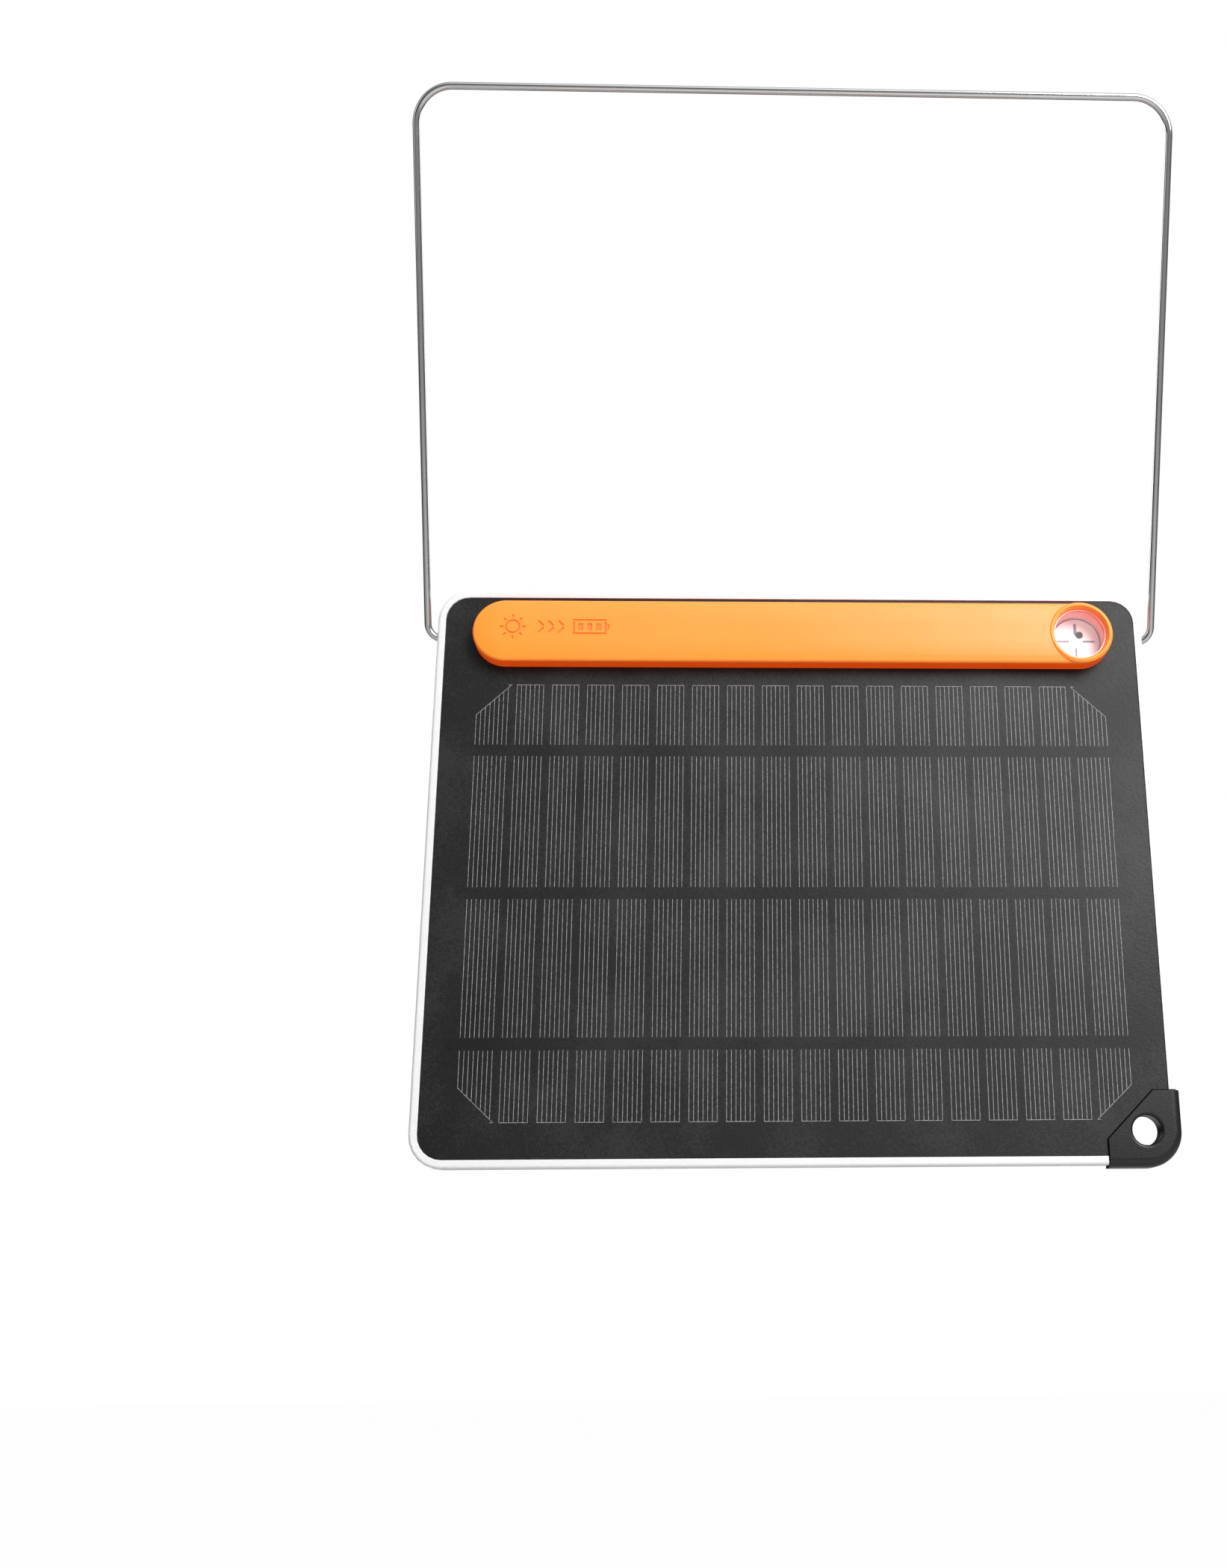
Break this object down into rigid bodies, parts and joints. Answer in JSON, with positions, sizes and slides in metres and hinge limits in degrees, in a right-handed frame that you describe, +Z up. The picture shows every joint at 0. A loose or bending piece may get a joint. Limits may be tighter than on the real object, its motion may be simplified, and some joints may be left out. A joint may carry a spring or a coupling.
{
  "type": "solar phone charger",
  "caption": "Flat portable solar panel in a pale frame, with a pill-shaped battery module and sundial aimer along its top and a turning wire bail for hanging or standing.",
  "frame": {"origin": "hang point: underside of the bail bar at mid-width, where a nail or hook carries the charger", "axes": "+Z up, panel vertical and facing -Y, +X to the right seen from the front; the bail leans 25 degrees forward of the panel"},
  "size_m": [0.2672, 0.0971, 0.3645],
  "materials": {
    "bail_steel": "bright drawn wire",
    "solar_cell": "dark textured silicon",
    "busbar_tape": "dark matt",
    "screw_steel": "black oxide",
    "lamp": "clear",
    "bush_plastic": "plain",
    "orange_plastic": "satin moulded",
    "socket_steel": "bright",
    "tongue_plastic": "plain",
    "nickel_contact": "nickel plated",
    "black_lead": "wire insulation",
    "red_lead": "wire insulation",
    "milky_plastic": "translucent satin",
    "dark_film": "fine texture",
    "black_board": "plain",
    "battery_sleeve": "shrink sleeve",
    "circuit_green": "solder mask",
    "frosted_guide": "frosted",
    "cover_rubber": "matt",
    "button_plastic": "satin",
    "black_nylon": "satin",
    "pale_cup": "satin",
    "white_dial": "matt print",
    "black_plastic": "satin",
    "clear_lens": "clear plastic"
  },
  "bodies": {
    "bail": {"wire_bail": "bail_steel"},
    "panel": {"backing_board": "black_board", "battery_cell": "battery_sleeve", "battery_contact_negative": "nickel_contact", "battery_contact_positive": "nickel_contact", "battery_lead_negative": "black_lead", "battery_lead_positive": "red_lead", "busbar_tape_lower": "busbar_tape", "busbar_tape_middle": "busbar_tape", "busbar_tape_upper": "busbar_tape", "cell_strip_01": "solar_cell", "cell_strip_02": "solar_cell", "cell_strip_03": "solar_cell", "cell_strip_04": "solar_cell", "cell_strip_05": "solar_cell", "cell_strip_06": "solar_cell", "cell_strip_07": "solar_cell", "cell_strip_08": "solar_cell", "cell_strip_09": "solar_cell", "cell_strip_10": "solar_cell", "cell_strip_11": "solar_cell", "cell_strip_12": "solar_cell", "cell_strip_13": "solar_cell", "cell_strip_14": "solar_cell", "cell_strip_15": "solar_cell", "cell_strip_16": "solar_cell", "cell_strip_17": "solar_cell", "cell_strip_18": "solar_cell", "circuit_board": "circuit_green", "cover_hinge_pin": "socket_steel", "front_film": "dark_film", "front_shell": "orange_plastic", "hinge_bush_left": "bush_plastic", "hinge_bush_right": "bush_plastic", "lash_corner": "black_nylon", "light_guide": "frosted_guide", "micro_usb_shell": "socket_steel", "micro_usb_tongue": "tongue_plastic", "panel_lead_negative": "black_lead", "panel_lead_positive": "red_lead", "rear_shell": "orange_plastic", "rear_tray": "milky_plastic", "shell_screw_1": "screw_steel", "shell_screw_2": "screw_steel", "shell_screw_3": "screw_steel", "shell_screw_4": "screw_steel", "shell_screw_5": "screw_steel", "status_led_1": "lamp", "status_led_2": "lamp", "status_led_3": "lamp", "status_led_4": "lamp", "sundial_cup": "pale_cup", "sundial_dial": "white_dial", "sundial_dot": "black_plastic", "sundial_lens": "clear_lens", "tact_switch": "black_plastic", "usb_a_shell": "socket_steel", "usb_a_tongue": "tongue_plastic"},
    "cover": {"port_cover": "cover_rubber"},
    "button": {"power_button": "button_plastic"}
  },
  "joints": [
    {"name": "bail_hinge", "type": "hinge", "parent": "bail", "child": "panel", "pos_m": [0, 0.0811, -0.17267], "axis": [1, 0, 0], "continuous": true},
    {"name": "port_cover_hinge", "type": "hinge", "parent": "panel", "child": "cover", "pos_m": [0.04437, 0.0937, -0.18572], "axis": [1, 0, 0], "range_deg": [0, 115]},
    {"name": "button_press", "type": "slide", "parent": "panel", "child": "button", "axis": [0, -1, 0], "range_m": [0, 0.0005], "stiffness_N_per_m": 3000, "springref_m": -0.0003}
  ]
}
